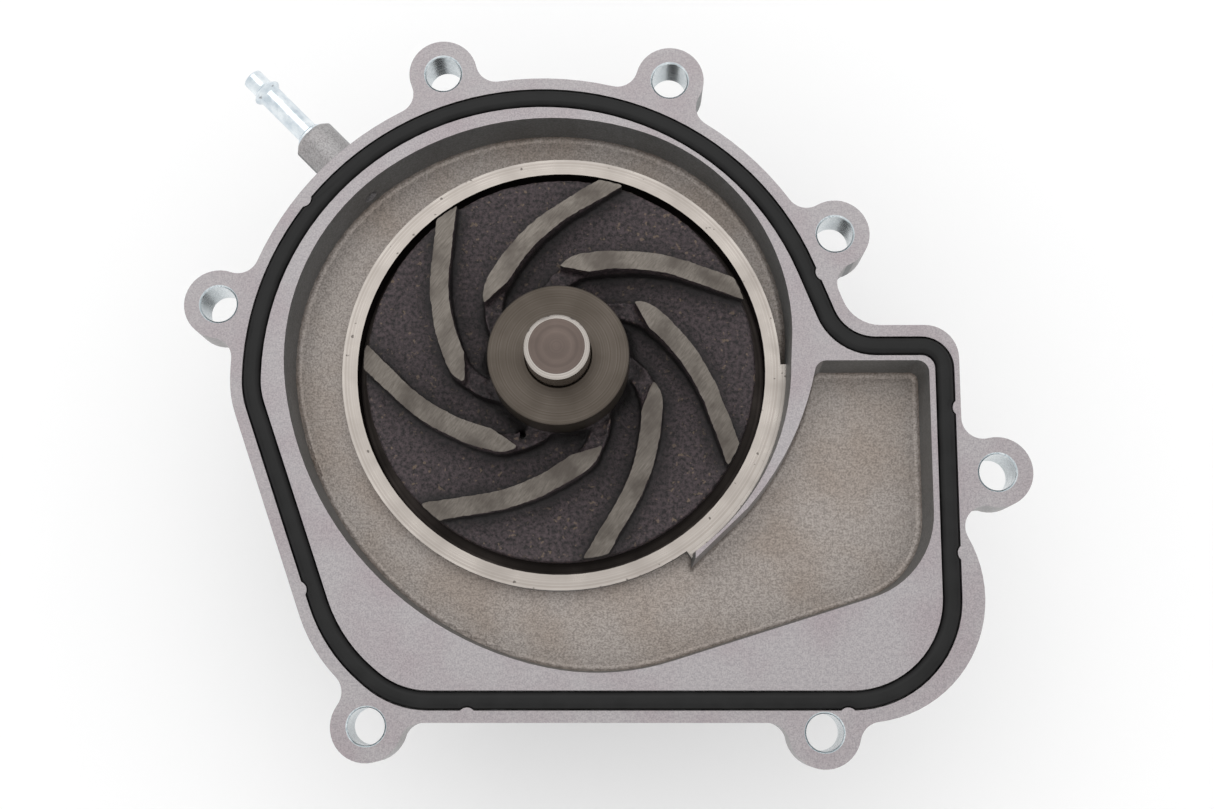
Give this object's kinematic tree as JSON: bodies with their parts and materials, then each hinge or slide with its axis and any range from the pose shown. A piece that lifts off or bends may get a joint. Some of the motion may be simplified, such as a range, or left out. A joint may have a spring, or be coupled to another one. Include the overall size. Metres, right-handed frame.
{
  "type": "engine coolant pump",
  "caption": "Cast engine coolant pump with a lugged flange, rubber seal in a groove, open spiral chamber, backward-curved impeller, shaft bearing and ribbed belt pulley.",
  "frame": {"origin": "shaft axis at the mounting face of the flange", "axes": "+Z out of the mounting face towards the engine block, along the shaft; +Y towards the two upper lugs; +X towards the outlet chamber"},
  "size_m": [0.2111, 0.1837, 0.1311],
  "materials": {
    "cast_aluminium": "shot-blasted casting, machined face",
    "seal_rubber": "satin",
    "zinc_steel": "bright zinc plate",
    "bearing_steel": "ground",
    "spring_steel": "dark",
    "pressed_steel": "satin",
    "carbon_graphite": "lapped",
    "cast_iron": "as cast, ground vane tops",
    "ceramic": "lapped",
    "turned_steel": "turned",
    "pulley_coat": "satin black electrocoat",
    "bolt_steel": "zinc plate",
    "cage_polyamide": "moulded"
  },
  "bodies": {
    "housing": {"pump_housing": "cast_aluminium", "flange_seal": "seal_rubber", "hose_nipple": "zinc_steel", "bearing_outer_ring": "bearing_steel", "bearing_seal_front": "seal_rubber", "bearing_seal_rear": "seal_rubber", "bearing_circlip": "spring_steel", "seal_case": "pressed_steel", "seal_bellows": "seal_rubber", "seal_spring": "spring_steel", "spring_collar": "pressed_steel", "carbon_ring": "carbon_graphite"},
    "rotor": {"impeller": "cast_iron", "shaft": "bearing_steel", "mating_ring": "ceramic", "mating_ring_boot": "seal_rubber", "slinger_ring": "pressed_steel", "drive_hub": "turned_steel", "pulley": "pulley_coat", "pulley_bolts": "bolt_steel"},
    "ball_set": {"ball_row": "bearing_steel", "ball_cage": "cage_polyamide"},
    "roller_set": {"roller_row": "bearing_steel", "roller_cage": "cage_polyamide"}
  },
  "joints": [
    {"name": "rotor_spin", "type": "hinge", "parent": "housing", "child": "rotor", "pos_m": [0, 0, 0], "axis": [0, 0, 1], "continuous": true},
    {"name": "ball_orbit", "type": "hinge", "parent": "housing", "child": "ball_set", "pos_m": [0, 0, -0.045], "axis": [0, 0, 1], "continuous": true},
    {"name": "roller_orbit", "type": "hinge", "parent": "housing", "child": "roller_set", "pos_m": [0, 0, -0.062], "axis": [0, 0, 1], "continuous": true}
  ],
  "couplings": [
    {"joint": "ball_orbit", "follows": "rotor_spin", "ratio": 0.3693},
    {"joint": "roller_orbit", "follows": "rotor_spin", "ratio": 0.3837}
  ]
}
